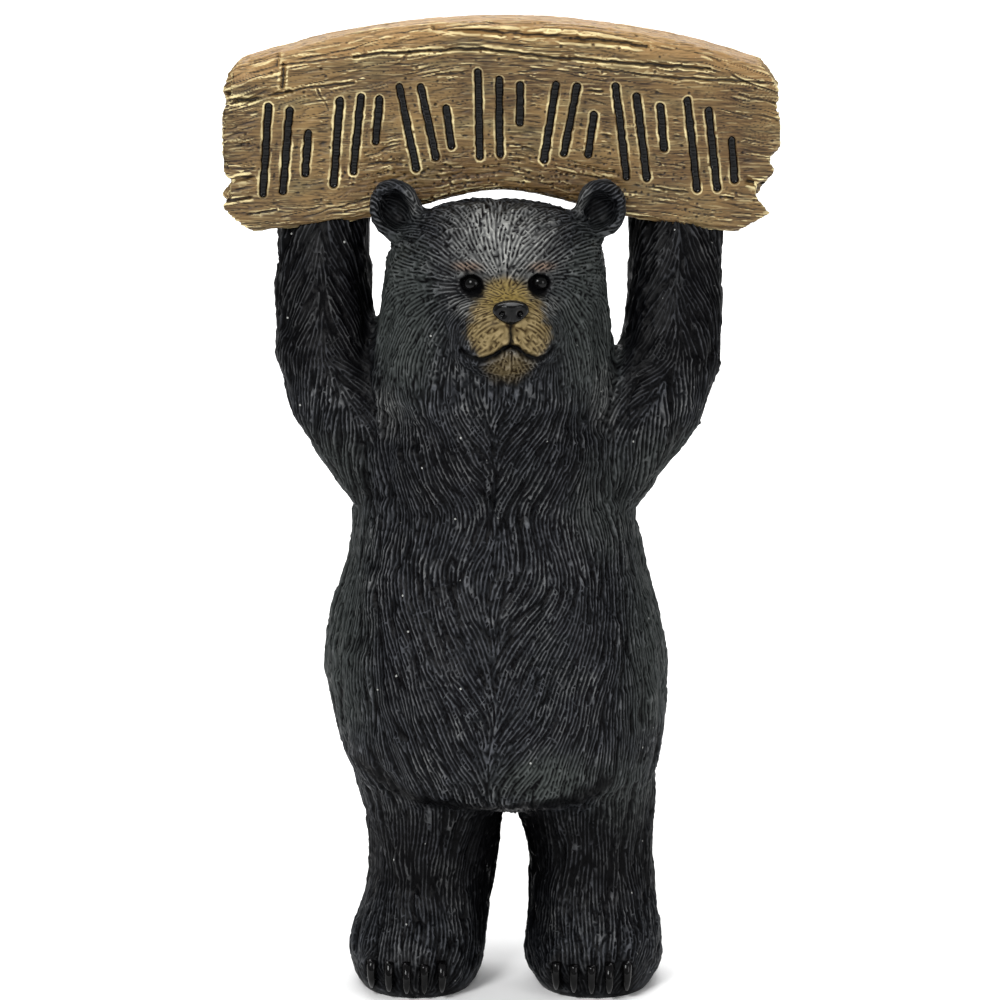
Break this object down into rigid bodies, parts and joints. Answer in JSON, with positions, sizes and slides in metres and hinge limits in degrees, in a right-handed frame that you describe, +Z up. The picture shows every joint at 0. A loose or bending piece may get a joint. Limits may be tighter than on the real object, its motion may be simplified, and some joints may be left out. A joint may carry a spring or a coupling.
{
  "type": "standing bear figurine with sign board",
  "caption": "Standing black bear figurine on flat soles, with carved-look fur, holding an arched log-slab sign board above its head in its raised paws.",
  "frame": {"origin": "middle of the underside's box, on the ground between the soles", "axes": "+Z up, +X to the viewer's right as the bear faces the viewer, +Y to the bear's back"},
  "size_m": [0.2326, 0.1216, 0.3993],
  "materials": {
    "bear_paint": "hand-painted resin, black with grey dry-brushed fur, tan muzzle, glossy eyes, nose and claws",
    "board_paint": "hand-painted resin, golden tan wood grain with pale edges and dark brown cracks"
  },
  "bodies": {
    "root": {"bear": "bear_paint", "sign_board": "board_paint"}
  },
  "joints": []
}
